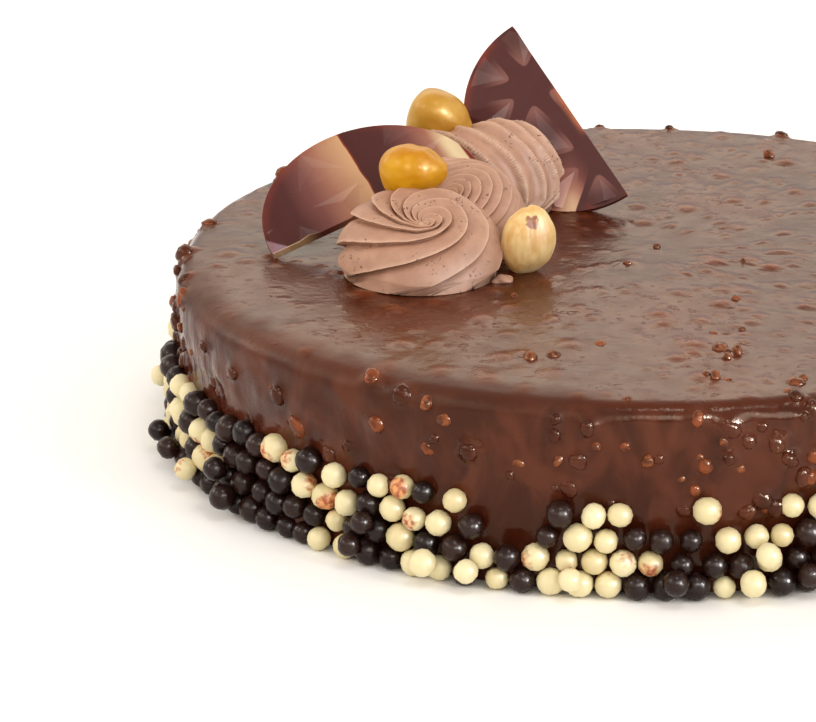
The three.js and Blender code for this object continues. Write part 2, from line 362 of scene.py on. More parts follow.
# %% Reading and moving points
def read_points(piece, what="co"):
    """The places (co) or normals of a piece's points as rows of x, y, z."""
    flat = np.empty(len(piece.data.vertices) * 3)
    piece.data.vertices.foreach_get(what, flat)
    return flat.reshape(-1, 3)


def write_points(piece, points):
    piece.data.vertices.foreach_set("co", points.ravel())
    piece.data.update()


def write_values(piece, name, values):
    """Store one number a point in the mesh, for a finish to read."""
    store = piece.data.attributes.new(name, "FLOAT", "POINT")
    store.data.foreach_set("value", np.asarray(values, float))


def uneven(points, size_mm, shift=0.0):
    """Smooth unevenness from about -1 to 1 at each point, with swells of that size."""
    scale = 1 / (size_mm * MM)
    move = Vector((shift, 1.7 * shift, 2.3 * shift))
    return np.array([noise.noise(Vector(point) * scale + move) for point in points])


def slope(values, low, high):
    """0 below low, 1 above high and a smooth slope between, for arrays."""
    share = np.clip((values - low) / (high - low), 0, 1)
    return share * share * (3 - 2 * share)


print("highest point in mm:", round(float(read_points(glaze)[:, 2].max()) / MM, 1))

# %% Where the chopped nuts lie
TOP_LUMPS, RIM_LUMPS, WALL_LUMPS = 1100, 70, 300
# Radii in millimetres, and heights as shares of the radius.
CRUMBS, CHUNKS, WALL_NUTS = (0.6, 1.5), (1.5, 2.5), (0.9, 2.5)
CRUMB_SHARE = 0.85
TOP_RISE, WALL_RISE = (0.14, 0.32), (0.35, 0.6)
TOP_BARENESS, LOWEST_NUT = 0.92, 16
glaze_random = np.random.default_rng(41)


def on_top(random):
    """A seeded spot on the top, with more nuts towards the right and the back."""
    while True:
        reach = (GLAZE_RADIUS - GLAZE_RIM) * math.sqrt(random.random())
        turn = math.tau * random.random()
        x, y = reach * math.cos(turn), reach * math.sin(turn)
        if random.random() < 0.45 + 0.55 * slope(x + 0.5 * y, -60, 15):
            return x, y, GLAZE_HEIGHT


def on_wall(turn_deg, height):
    """The spot on the wall or rim at a turn from the front and a height."""
    turn = math.radians(turn_deg)
    wall_top = GLAZE_HEIGHT - GLAZE_RIM
    over = max(0, height - wall_top)
    reach = GLAZE_RADIUS - GLAZE_RIM + math.sqrt(max(0, GLAZE_RIM ** 2 - over ** 2))
    reach -= (GLAZE_RADIUS - GLAZE_FOOT) * max(0, 1 - height / wall_top)
    return reach * math.sin(turn), -reach * math.cos(turn), height


def scatter_lumps(random):
    """Rows of x, y, z, radius, height and bareness of the nuts under the glaze, in millimetres."""
    lumps = []
    for _ in range(TOP_LUMPS):
        size = random.uniform(*(CRUMBS if random.random() < CRUMB_SHARE else CHUNKS))
        spot = on_top(random)
        lumps.append((*spot, size, size * random.uniform(*TOP_RISE), random.random() * TOP_BARENESS))
    wall_top = GLAZE_HEIGHT - GLAZE_RIM
    for count, low, high in ((RIM_LUMPS, wall_top, GLAZE_HEIGHT), (WALL_LUMPS, LOWEST_NUT, wall_top)):
        for _ in range(count):
            size = random.uniform(*WALL_NUTS)
            turn = random.uniform(-180, 180)
            # Few nuts lie in the smooth stretch to the left of the front.
            if random.random() < 0.25 + 0.75 * slope(abs(turn + 48), 22, 42):
                spot = on_wall(turn, random.uniform(low, high))
                lumps.append((*spot, size, size * random.uniform(*WALL_RISE), random.random()))
    return np.array(lumps)


lumps = scatter_lumps(glaze_random)
print("nut lumps:", len(lumps))

# %% Raise the lumps
BARE_SHARE = 0.93
# A lump's foot as a multiple of its radius, and the height in millimetres that counts as a full lump.
LUMP_SPREAD, FULL_LUMP = 1.7, 0.7


def sort_points(points):
    """The points in a tree that finds the ones near a spot."""
    tree = kdtree.KDTree(len(points))
    for index, point in enumerate(points):
        tree.insert(point, index)
    tree.balance()
    return tree


def raise_lumps(tree, points, lumps):
    """Height of the lumps at each point in millimetres, and how bare the nut shows there."""
    height, bare = np.zeros(len(points)), np.zeros(len(points))
    for x, y, z, size, tall, bareness in lumps:
        shows = bareness > BARE_SHARE
        spread = LUMP_SPREAD * size * MM
        for spot, index, gap in tree.find_range(Vector((x, y, z)) * MM, spread):
            edge = 1 + 0.3 * noise.noise(Vector(spot) / (1.6 * MM))
            share = min(1, gap / spread * edge)
            lift = tall * (1 - share * share) ** 2
            height[index] = max(height[index], lift)
            if shows:
                bare[index] = max(bare[index], min(1, 1.5 * (1 - 1.5 * share)))
    return height, np.clip(bare, 0, 1)


points, normals = read_points(glaze), read_points(glaze, "normal")
skin = sort_points(points)
lump_height, bare = raise_lumps(skin, points, lumps)
write_values(glaze, "bare_nut", bare)
write_values(glaze, "lumpy", np.clip(lump_height / FULL_LUMP, 0, 1))
print("tallest lump in mm:", round(float(lump_height.max()), 2))

# %% Sides of the pour
def facing(turn_deg, middle, full, none):
    """1 within full degrees of a turn from the front, 0 beyond none and a smooth slope between."""
    return 1 - slope(np.abs((turn_deg - middle + 180) % 360 - 180), full, none)


z = points[:, 2] / MM
reach = np.hypot(points[:, 0], points[:, 1]) / MM
turn = np.arctan2(points[:, 0], -points[:, 1])
turn_deg = np.degrees(turn)
far_left = facing(turn_deg, -86, 18, 32)
left = facing(turn_deg, -73, 42, 66)
shoulder = facing(turn_deg, -44, 28, 46)
front = facing(turn_deg, -12, 50, 85)
on_side = slope(z, 1, 6) * (1 - slope(z, 35, 40))
print("points on the wall:", int((on_side > 0.5).sum()))

# %% Add the runs and swells of the pour
RUN_SQUEEZE = 0.1
OVERHANG, SAG_FROM = 3, 88
around = (GLAZE_RADIUS * np.sin(turn), GLAZE_RADIUS * np.cos(turn), RUN_SQUEEZE * z)
run_spots = np.stack(around, axis=1) * MM
runs = (0.3 + 0.8 * far_left) * uneven(run_spots, 6, 3)
runs += (0.1 + 0.3 * far_left) * uneven(run_spots, 2.3, 9)
swell = 0.5 * uneven(points, 34, 1) + (0.1 + 0.5 * on_side) * uneven(points, 8, 5)
swell += 0.2 * on_side * uneven(points, 3.2, 8)
puddle = 2.4 * slope(uneven(run_spots, 15, 4), 0.05, 0.4) * (1 - slope(z, 2, 9))
height = lump_height + (swell + runs * on_side + puddle) * slope(z, 0.2, 3)
moved = points + normals * (height * MM)[:, None]
# The pour rounds the left shoulder off, and at the front it hangs over as a crisp edge.
sag = (0.2 + 0.8 * left) * np.clip((reach - SAG_FROM) / (GLAZE_RADIUS - SAG_FROM), 0, 1) ** 2
sag *= slope(z, 20, GLAZE_HEIGHT)
moved[:, 2] -= sag * MM
overhang = OVERHANG * front * slope(z, 8, 36) * slope(reach, 80, 97)
moved[:, :2] *= (1 + overhang / np.maximum(reach, 1))[:, None]
write_points(glaze, moved)
write_values(glaze, "flat_top", slope(z, 39, GLAZE_HEIGHT))
write_values(glaze, "stringy", far_left * on_side)
write_values(glaze, "soft_rim", shoulder * slope(z, 28, 37) * slope(reach, 90, 96))
print("most sag in mm:", round(float(sag.max()), 2))

# %% [markdown]
# ## Glaze finish
#
# Chocolate glaze is a dark red-brown that only looks pale where it mirrors the bright tent at a flat
# angle. The colour therefore stays dark, and a low roughness brings the sheen, with a warm tint so that
# it isn't grey. On the wall a paler brown is painted in smoky patches, as painted veils of reflection.
# Bare nut shows orange brown, and the top, the stringy left side and the dull shoulder differ, through
# attributes that the relief left on the mesh. A painted picture could do this too, but it would blur at
# close range.

# %% Glaze colour
WARM_GLOSS = (1.0, 0.86, 0.7, 1.0)
glaze_finish, place = start_finish("chocolate_glaze")
cloud = mottle(place, 28, 3)
grain = mottle(place, 1.6, 3)
lumpy = own_value(place, "lumpy")
flat_top = own_value(place, "flat_top")
brown = blend(rise(cloud, 0.35, 0.68), colour(66, 27, 12), colour(82, 36, 17))
# Painted reflection: paler smoky patches on the wall stand in for veils of bright light mirrored in the
# glaze.
painted_veils = rise(mottle(drawn_out(place, 0.5), 9, 3, 0.8), 0.36, 0.68)
wall_brown_and_painted_veils = blend(painted_veils, colour(56, 20, 8), colour(82, 39, 24))
brown = blend(flat_top, wall_brown_and_painted_veils, blend(0.9 * lumpy, brown, colour(112, 56, 30)))
nut_tone = blend(rise(mottle(place, 2.4), 0.35, 0.65), colour(82, 38, 20), colour(124, 62, 32))
nut_mask = rise(own_value(place, "bare_nut") + 0.5 * (grain - 0.5), 0.3, 0.75)
set_shader(glaze_finish, Base_Color=blend(nut_mask, brown, nut_tone))
print("nodes for the colour:", len(glaze_finish.node_tree.nodes))

# %% Glaze gloss
strings = own_value(place, "stringy") * mottle(drawn_out(place, 0.12), 1.5, 2)
ripples = flat_top * rise(cloud, 0.36, 0.62) * rise(mottle(place, 2.6, 3), 0.56, 0.76)
relief = 0.5 * mottle(place, 2.2, 4) + 0.6 * lumpy * mottle(place, 0.9, 3) + 1.2 * strings + 0.7 * ripples
dull = 0.1 * rise(mottle(place, 6, 3), 0.35, 0.7) + 0.11 * flat_top + 0.26 * own_value(place, "soft_rim")
set_shader(
    glaze_finish,
    Roughness=0.08 + dull,
    Normal=bump(relief, 0.22),
    IOR=1.32,
    Specular_Tint=WARM_GLOSS,
)
dress(glaze, glaze_finish, "cake")
print("finish:", glaze_finish.name)

# %% [markdown]
# ## Pearls round the foot
#
# Handfuls of dark and ivory chocolate pearls were pressed into the soft glaze, about four rows high.
# Pearls of one colour stay together, because they came from one handful. They start in loose rows,
# and where two overlap both are pushed apart until all have room, as real ones do. One pearl is
# modelled from a cube that is rounded to a ball, and copied with its own size and turn.

# %% Where the pearls lie
PEARL_ROWS, PEARLS_A_ROW = 4, 112
PEARL_WALL = 101.6
# Turn from the front in degrees, height and reach in millimetres of each gap in the band.
BAND_GAPS = [(-93, 24, 8), (-71, 25, 5), (-59, 24, 4), (-44, 25, 4), (-33, 25, 6), (-19, 20, 7),
             (-0.5, 21, 6), (8, 23, 4), (12, 22, 4)]
HANDFUL_REPEAT = 120
LOWEST_ROW, ROW_PITCH = 3, 5.6
PEARL_SIZES, LOST_SHARE = (2.35, 3.05), 0.04
PUSH_ROUNDS, PUSH, SETTLE = 90, 0.3, 0.02
pearl_random = np.random.default_rng(8)


def in_patches(arc, height, patches):
    """Whether each spot on the wall lies in a patch, with the patches three times round."""
    turn = np.degrees(arc / PEARL_WALL)
    inside = np.zeros(len(arc), bool)
    for patch_turn, patch_height, reach in patches:
        side = (turn - patch_turn + HANDFUL_REPEAT / 2) % HANDFUL_REPEAT - HANDFUL_REPEAT / 2
        inside |= np.hypot(np.radians(side) * PEARL_WALL, height - patch_height) < reach
    return inside


def push_apart(arc, height, size):
    """Move pearls along the wall until none overlaps its neighbours."""
    whole = math.tau * PEARL_WALL
    for _ in range(PUSH_ROUNDS):
        side = arc[:, None] - arc[None, :]
        side -= whole * np.round(side / whole)
        lift = height[:, None] - height[None, :]
        gap = np.hypot(side, lift) + 1e-6
        press = np.clip(size[:, None] + size[None, :] - gap, 0, None)
        np.fill_diagonal(press, 0)
        arc = arc + PUSH * (press * side / gap).sum(1)
        height = height + PUSH * (press * lift / gap).sum(1) - SETTLE
        height = np.maximum(height, size)
    return arc, height


def place_pearls(random):
    """Arc along the wall, height and radius of every pearl, in millimetres."""
    pitch = math.tau * PEARL_WALL / PEARLS_A_ROW
    row, step = np.divmod(np.arange(PEARL_ROWS * PEARLS_A_ROW), PEARLS_A_ROW)
    arc = (step + 0.5 * (row % 2) + random.uniform(-0.3, 0.3, len(row))) * pitch
    height = LOWEST_ROW + ROW_PITCH * row + random.uniform(-0.9, 0.9, len(row))
    size = random.uniform(*PEARL_SIZES, len(row))
    keep = ~in_patches(arc, height, BAND_GAPS) & (random.random(len(row)) > LOST_SHARE)
    return *push_apart(arc[keep], height[keep], size[keep]), size[keep]


pearl_arc, pearl_height, pearl_size = place_pearls(pearl_random)
print("pearls:", len(pearl_arc))

# %% Which pearls are ivory
# Turn from the front in degrees, height and reach in millimetres of each ivory handful.
IVORY_HANDFULS = [
    (-99, 19, 4), (-95, 8, 6), (-85, 7, 7.5), (-75, 12, 7), (-66, 23, 3), (-65, 9, 6), (-48, 19, 5),
    (-41.5, 13, 6), (-40, 2, 7), (-33, 16.5, 4.5), (-31, 11, 4), (-30, 4, 4), (-25, 15, 4.5),
    (-26, 3, 3), (-20, 5, 4.5), (-14.7, 20, 3), (-7.5, 20, 7), (-8.5, 13.5, 4), (-13, 6, 5),
    (-7, 3.5, 6), (-1.4, 8, 3), (5.5, 15, 5.5), (8.5, 2, 4.5), (13, 12, 5), (15.5, 19, 4),
]
print("ivory handfuls:", len(IVORY_HANDFULS))

# %% Model one pearl and copy it
def model_pearl():
    """Points and faces of one ball with a radius of 1, from a rounded cube."""
    deselect()
    bpy.ops.mesh.primitive_cube_add(size=1)
    ball = bpy.context.object
    bpy.ops.object.mode_set(mode="EDIT")
    bpy.ops.mesh.subdivide(number_cuts=2)
    bpy.ops.transform.tosphere(value=1)
    bpy.ops.object.mode_set(mode="OBJECT")
    points = read_points(ball)
    faces = [tuple(face.vertices) for face in ball.data.polygons]
    bpy.data.objects.remove(ball)
    return points / np.linalg.norm(points, axis=1).mean(), faces


def random_turn(random):
    """A seeded turn about any axis, as rows to multiply points by."""
    axis = Vector(random.normal(size=3))
    return np.array(Matrix.Rotation(random.uniform(0, math.tau), 3, axis))


def join_copies(name, points_of_each, faces_of_each):
    """One piece from many small meshes."""
    points, faces, first = [], [], 0
    for own_points, own_faces in zip(points_of_each, faces_of_each):
        points.extend(own_points.tolist())
        faces.extend([tuple(corner + first for corner in face) for face in own_faces])
        first += len(own_points)
    mesh = bpy.data.meshes.new(name)
    mesh.from_pydata(points, [], faces)
    mesh.update()
    piece = bpy.data.objects.new(name, mesh)
    bpy.context.collection.objects.link(piece)
    deselect()
    piece.select_set(True)
    bpy.context.view_layer.objects.active = piece
    return piece


ball_points, ball_faces = model_pearl()
print("faces of a pearl:", len(ball_faces))

# %% Lay the pearls
OUTER_PEARLS, OUTER_SIZES, OUTER_GAP = 40, (2.4, 2.9), 6
LOW_PEARLS = 9
# Radius of the wall that the pearls sink into, and the share of a pearl's radius that stays out.
PEARL_SEAT, PEARL_SHOWS = 99.4, 0.78


def add_outer_pearls(arc, height, size, reach, random):
    """Arc, height, radius and reach of pearls that lean in the dip between two low ones."""
    outer = []
    for one in random.permutation(np.flatnonzero(height < LOW_PEARLS)):
        gap = np.hypot(arc - arc[one], height - height[one])
        gap[one] = 1e3
        two = int(np.argmin(gap))
        own = random.uniform(*OUTER_SIZES)
        touch = own + (size[one] + size[two]) / 2
        proud = math.sqrt(max(1, touch ** 2 - (gap[two] / 2) ** 2))
        out = (reach[one] + reach[two]) / 2 + proud - 0.3
        spot = ((arc[one] + arc[two]) / 2, max(own, (height[one] + height[two]) / 2), own, out)
        if all(np.hypot(spot[0] - old[0], spot[1] - old[1]) > OUTER_GAP for old in outer):
            outer.append(spot)
    return np.array(outer[:OUTER_PEARLS]).T


pearl_reach = PEARL_SEAT + PEARL_SHOWS * pearl_size + pearl_random.uniform(0, 0.9, len(pearl_size))
pearls = np.array([pearl_arc, pearl_height, pearl_size, pearl_reach])
pearls = np.hstack([pearls, add_outer_pearls(*pearls, pearl_random)])
pearl_arc, pearl_height, pearl_size, pearl_reach = pearls
ivory = in_patches(pearl_arc, pearl_height, IVORY_HANDFULS)
print("pearls with the outer ones:", len(pearl_arc))

# %% Make the two kinds
PEARL_SQUASH = (0.95, 1.04)


def lay_pearls(name, chosen, random):
    """One piece from the chosen pearls, with a tone for each and a stain on some."""
    turn = pearl_arc / PEARL_WALL
    spots = (pearl_reach * np.sin(turn), -pearl_reach * np.cos(turn), pearl_height)
    middles = np.stack(spots, axis=1) * MM
    shapes, tones, stains = [], [], []
    for middle, size in zip(middles[chosen], pearl_size[chosen]):
        ball = (ball_points * random.uniform(*PEARL_SQUASH, 3)) @ random_turn(random)
        shapes.append(ball * size * MM + middle)
        tones.append(np.full(len(ball), random.random()))
        stain_side = random.normal(size=3)
        stain_side /= np.linalg.norm(stain_side)
        amount = max(0, random.uniform(-0.9, 1))
        stains.append(amount * slope(ball @ stain_side, -0.1, 0.9))
    piece = join_copies(name, shapes, [ball_faces] * len(shapes))
    bpy.ops.object.shade_smooth()
    write_values(piece, "tone", np.concatenate(tones))
    write_values(piece, "stain", np.concatenate(stains))
    return piece


dark_pearls = lay_pearls("pearls_dark", ~ivory, np.random.default_rng(21))
ivory_pearls = lay_pearls("pearls_ivory", ivory, np.random.default_rng(22))
print("dark", int((~ivory).sum()), "ivory", int(ivory.sum()))

# %% [markdown]
# ## Pearl finishes
#
# Dark pearls have a thin sugar gloss over near-black chocolate. Ivory ones are a satin cream colour,
# and where glaze ran over them they carry orange-brown stains. One finish for each kind is enough,
# because the tone and the stain of every single pearl are attributes of the mesh.

# %% Pearl finishes
dark_finish, place = start_finish("dark_pearl")
set_shader(
    dark_finish,
    Base_Color=blend(own_value(place, "tone"), colour(22, 9, 7), colour(42, 22, 17)),
    Roughness=0.2 + 0.16 * mottle(place, 2.5),
    Normal=bump(mottle(place, 1.3), 0.1),
    IOR=1.34,
)
ivory_finish, place = start_finish("ivory_pearl")
cream_tone = blend(own_value(place, "tone"), colour(206, 191, 144), colour(224, 213, 171))
speckle = mottle(place, 1.1, 3)
stain = rise(own_value(place, "stain") + 0.9 * (speckle - 0.5), 0.3, 0.75)
stain_tone = blend(rise(speckle, 0.4, 0.62), colour(214, 150, 92), colour(158, 78, 40))
set_shader(
    ivory_finish,
    Base_Color=blend(stain, cream_tone, stain_tone),
    Roughness=0.34 + 0.15 * speckle,
    Normal=bump(mottle(place, 1.6), 0.12),
)
dress(dark_pearls, dark_finish, "cake")
dress(ivory_pearls, ivory_finish, "cake")
print("finishes:", dark_finish.name, ivory_finish.name)

# %% [markdown]
# ## Chopped nuts in the glaze
#
# On the wall the chopped nuts are half-sunk lumps under a skin of glaze. Each is an uneven copy of the
# pearl's ball in the glaze's own finish, seated on the poured surface, because round tops catch the
# small glints that relief alone is too low for. Some pieces broke through the glaze and show as small
# angular crumbs, orange brown and wet. A low ball whose points are pushed about gives the broken shape.
# The crumbs that face the viewer lie where they do on the real cake, and seeded ones fill the rest.

# %% Seat the coated nuts
# Shares of a nut's radius that are sunk and pressed flat, and the share of nuts under glaze.
NUT_SUNK, NUT_FLAT, COVERED_SHARE = 0.32, 0.35, 0.72
NUT_SQUASH, NUT_DENTS = (0.75, 1.2), 0.25


def skin_at(spot):
    """The poured surface nearest to a spot in millimetres, and the direction out of it."""
    _, index, _ = skin.find(Vector(spot) * MM)
    return moved[index] / MM, normals[index]


def coat_nuts(random):
    """Shapes of the nuts on the wall and the rim, and how bare each is."""
    shapes, bareness = [], []
    for x, y, z, size, _, bare in lumps[TOP_LUMPS:]:
        middle, out = skin_at((x, y, z))
        dents = 1 + NUT_DENTS * uneven(ball_points * MM, 0.9, x)
        own = ball_points * dents[:, None] * random.uniform(*NUT_SQUASH, 3)
        own = own @ random_turn(random) * size
        own -= NUT_FLAT * (own @ out)[:, None] * out
        shapes.append((own + middle - out * NUT_SUNK * size) * MM)
        bareness.append(np.full(len(own), float(bare > COVERED_SHARE)))
    return shapes, np.concatenate(bareness)


nut_shapes, nut_bareness = coat_nuts(np.random.default_rng(17))
coated_nuts = join_copies("coated_nuts", nut_shapes, [ball_faces] * len(nut_shapes))
bpy.ops.object.shade_smooth()
write_values(coated_nuts, "bare_nut", nut_bareness)
write_values(coated_nuts, "lumpy", np.ones(len(nut_bareness)))
dress(coated_nuts, glaze_finish, "cake")
print("coated nuts:", len(nut_shapes))

# %% Place the bits
# Turn from the front in degrees and height on the wall, and x and y on the top, in millimetres.
WALL_BITS = [(-27, 38.5), (-25, 34.8), (-2, 28.6), (1.5, 25.1), (6, 33.2), (8.3, 27.2), (-16.5, 26.8),
             (-7.5, 32.5), (12, 31.5), (3.5, 30), (-12, 29)]
TOP_BITS = [(-7.6, -96), (14.2, -70.7), (12.5, -68.6), (15.9, -71.2), (13.7, -74), (8, -84.3),
            (10.4, -85.5), (12.6, -86.4), (-11.8, -65), (3.2, 1.1), (23.4, -92), (24.7, -87.9),
            (27.1, -85.6), (-21, -72), (-26, -73), (21.2, -11.2), (34, 73)]
MORE_BITS, WALL_BIT_SHARE = 46, 0.6
PLACED_SIZES, MORE_SIZES, BIT_SUNK = (1.1, 1.9), (0.6, 1.4), 0.35
BIT_DENTS, BIT_SQUASH, BIT_EDGE = 0.14, (0.55, 1.3), 70


def model_bit(random):
    """Points and faces of one broken crumb of about 1 across."""
    deselect()
    bpy.ops.mesh.primitive_ico_sphere_add(subdivisions=2, radius=1)
    crumb = bpy.context.object
    points = read_points(crumb)
    faces = [tuple(face.vertices) for face in crumb.data.polygons]
    bpy.data.objects.remove(crumb)
    points *= 1 + random.uniform(-BIT_DENTS, BIT_DENTS, (len(points), 1))
    return points * random.uniform(*BIT_SQUASH, 3), faces


def scatter_bits(random):
    """Shapes of all the bare bits, half sunk in the glaze."""
    spots = [on_wall(*bit) for bit in WALL_BITS] + [(x, y, GLAZE_HEIGHT) for x, y in TOP_BITS]
    sizes = [random.uniform(*PLACED_SIZES) for _ in spots]
    for _ in range(MORE_BITS):
        if random.random() < WALL_BIT_SHARE:
            spots.append(on_wall(random.uniform(20, 330), random.uniform(24, 40)))
        else:
            spots.append(on_top(random))
        sizes.append(random.uniform(*MORE_SIZES))
    shapes, faces = [], []
    for spot, size in zip(spots, sizes):
        crumb, own_faces = model_bit(random)
        middle, out = skin_at(spot)
        shapes.append((crumb @ random_turn(random) * size + middle - out * BIT_SUNK * size) * MM)
        faces.append(own_faces)
    return shapes, faces


nut_bits = join_copies("nut_bits", *scatter_bits(np.random.default_rng(5)))
bpy.ops.object.shade_smooth_by_angle(angle=math.radians(BIT_EDGE))
print("bare bits:", MORE_BITS + len(WALL_BITS) + len(TOP_BITS))

# %% Finish of the bits
bit_finish, place = start_finish("wet_nut")
fleck = mottle(place, 1.4, 3)
set_shader(
    bit_finish,
    Base_Color=blend(rise(fleck, 0.36, 0.62), colour(80, 38, 20), colour(130, 70, 36)),
    Roughness=0.14 + 0.2 * fleck,
    Normal=bump(mottle(place, 0.8), 0.1),
    IOR=1.35,
    Specular_Tint=WARM_GLOSS,
)
dress(nut_bits, bit_finish, "cake")
print("finish:", bit_finish.name)

# %% [markdown]
# ## Piped swirls
#
# Each swirl came from a star nozzle that turned as it was lifted, so sharp ridges wind from its foot
# into an off-centre whirl, and on the back one they lie as rings. A star drawn along a spiral could
# give it too, but its coils would cut into each other. So a dome is spun from its outline, every point
# is turned by how near it lies to the middle, and the strips between the ridges are sunk.

# %% Swirl sizes
SWIRLS = {
    "rosette_front": {
        "x": -48.2, "y": -17.4, "radius": 18.1, "height": 16.7, "whirl": (0.8, -5.5), "opens": -80,
        "turn": 0.2, "ridges": 6, "twist": 270, "hook": 170, "depth": 4.0, "rings": None,
    },
    "rosette_middle": {
        "x": -41, "y": 2, "radius": 16.5, "height": 18.4, "whirl": (-3, -10), "opens": -110,
        "turn": 0.5, "ridges": 13, "twist": 320, "hook": 60, "depth": 2.4, "rings": None,
    },
    "rosette_back": {
        "x": -34.3, "y": 33, "radius": 19.4, "height": 20.6, "whirl": (-7, 3), "opens": 120,
        "turn": 0.9, "ridges": 18, "twist": 200, "hook": 0, "depth": 1.7,
        "rings": {"middle": (-42.5, 20, 45), "pitch": 3.2},
    },
}
# Share of the radius and of the height along a swirl's outline, on its high and on its open side.
HIGH_SIDE = [(0.9, 0), (1, 0.16), (0.98, 0.44), (0.87, 0.76), (0.66, 0.97), (0.45, 1), (0.2, 0.9),
             (0, 0.76)]
OPEN_SIDE = [(0.9, 0), (1, 0.1), (0.96, 0.32), (0.82, 0.54), (0.6, 0.68), (0.4, 0.74), (0.2, 0.76),
             (0, 0.76)]
OUTLINE_STEPS = 12


def round_path(corners):
    """Points along a rounded path through the corners."""
    corners = np.array(corners, float)
    ends = np.vstack([2 * corners[0] - corners[1], corners, 2 * corners[-1] - corners[-2]])
    path = []
    for part in range(len(corners) - 1):
        before, start, end, after = ends[part:part + 4]
        for t in np.linspace(0, 1, OUTLINE_STEPS, endpoint=False):
            bend = (2 * before - 5 * start + 4 * end - after) * t
            bend = bend + (3 * start - before - 3 * end + after) * t * t
            path.append(start + 0.5 * t * (end - before + bend))
    return np.array(path + [corners[-1]])


high_path, open_path = round_path(HIGH_SIDE), round_path(OPEN_SIDE)
print("points along a swirl's outline:", len(high_path))

# %% Spin a dome
STEPS_A_RIDGE, LEAST_STEPS = 26, 260


def find_rows(points, path, radius, height):
    """Which row of the outline each point was spun from, as a number with its fraction."""
    key = path[:, 2] / height + 2 * (1 - path[:, 0] / radius)
    own_key = points[:, 2] / height + 2 * (1 - np.hypot(points[:, 0], points[:, 1]) / radius)
    return np.interp(own_key, np.maximum.accumulate(key), np.arange(len(path)))


def steps_round(ridges):
    """How many steps a dome is spun in, the same number for each ridge."""
    return ridges * max(STEPS_A_RIDGE, LEAST_STEPS // ridges)


def spin_dome(name, radius, height, ridges):
    """A plain dome, each point's row on the outline, and its share of the way along the outline."""
    path = np.array([(max(share, 0) * radius, 0, max(up, 0) * height) for share, up in high_path])
    dome = add_chain(name, [(0, 0, 0), *path])
    spin_round(dome, steps_round(ridges))
    row = find_rows(read_points(dome) / MM, path, radius, height)
    walked = np.concatenate([[0], np.cumsum(np.linalg.norm(np.diff(path, axis=0), axis=1))])
    return dome, row, np.interp(row, np.arange(len(path)), walked / walked[-1])


def outline_at(row, from_open):
    """Shares of the radius and the height at a row, at an angle from the middle of the open side."""
    openness = (0.5 + 0.5 * np.cos(from_open)) ** 1.3
    rows = np.arange(len(high_path))
    return [(1 - openness) * np.interp(row, rows, high) + openness * np.interp(row, rows, low)
            for high, low in zip(high_path.T, open_path.T)]


print("steps round each swirl:", [steps_round(swirl["ridges"]) for swirl in SWIRLS.values()])

# %% Ridges and rings
def gather(angle, ridges):
    """Angles round the swirl with more of the points moved next to the ridges."""
    return angle - 0.7 / ridges * np.sin(angle * ridges)


def ridge_groove(phase):
    """Depth from 0 to 1 across a strip: deepest just below the lip above, then rounding out."""
    return (1 - np.exp(-phase / 0.03)) * (1 - np.sqrt(phase * (2 - phase)))


def ring_phase(spots, middle, pitch):
    """Share of the way from one ring round a middle to the next, for ridges that lie as rings."""
    gap = np.linalg.norm(spots - np.array(middle), axis=1)
    return 1 - (gap / pitch + 0.2 * np.sin(0.3 * spots[:, 0] + 0.2 * spots[:, 2])) % 1


def ring_groove(phase):
    """Depth from 0 to 1 between two sharp crests, steeper below the outer one."""
    return np.sin(np.pi * phase ** 0.7)


print("depth half way across a strip:", round(float(ridge_groove(0.5)), 2))

# %% Pipe the swirls
# Share of the radius within which the grooves fade, and height of the heart that they sink towards.
GROOVE_FADE, HEART = 0.3, 0.35
RIDGE_LIP, RING_LIP = 0.03, 0.06


def pipe_swirl(name, x, y, radius, height, whirl, opens, turn, ridges, twist, hook, depth, rings):
    """One swirl of cream in the place of its node."""
    piece, row, climb = spin_dome(name.replace("rosette", "swirl"), radius, height, ridges)
    points = read_points(piece) / MM
    under = (points[:, 2] < 0.01) & (np.hypot(points[:, 0], points[:, 1]) < 0.5 * radius)
    angle = gather(np.arctan2(points[:, 1], points[:, 0]) % math.tau, ridges)
    phase = (angle * ridges / math.tau + 1e-4) % 1
    angle = turn + angle + math.radians(twist) * (0.74 * climb + 0.26 * climb ** 3)
    angle += math.radians(hook) * climb ** 6
    angle += 0.035 * uneven(points * MM, 8, x)
    share, up = outline_at(row, angle - math.radians(opens))
    reach, up = share * radius, up * height
    strip, lip = ridge_groove(phase), RIDGE_LIP
    if rings:
        spots = (x + reach * np.cos(angle), y + reach * np.sin(angle), GLAZE_HEIGHT + up)
        phase = ring_phase(np.stack(spots, axis=1), **rings)
        strip, lip = ring_groove(phase), RING_LIP
    sink = depth * strip * np.minimum(1, share / GROOVE_FADE) * slope(up, 0, 0.5)
    to_heart = HEART * height - up
    heart_gap = np.hypot(reach, to_heart) + 1e-6
    reach, up = reach - sink * reach / heart_gap, up + sink * to_heart / heart_gap
    reach[under], up[under], share[under] = 0, 0, 1
    inward = np.maximum(0, 1 - share)
    points[:, 0] = x + whirl[0] * inward + reach * np.cos(angle)
    points[:, 1] = y + whirl[1] * inward + reach * np.sin(angle)
    points[:, 2] = GLAZE_HEIGHT + up
    wave = 0.12 * uneven(points * MM, 2.2, x) + 0.3 * uneven(points * MM, 9, y)
    points += (wave * slope(up, 0, 2))[:, None]
    write_points(piece, points * MM)
    # Where the lips lie, for the cream finish to paint a highlight on them.
    write_values(piece, "lip", np.exp(-phase / lip) + np.exp((phase - 1) / (2 * lip)))
    return piece


swirls = {name: pipe_swirl(name, **swirl) for name, swirl in SWIRLS.items()}
print("swirls:", ", ".join(swirls))
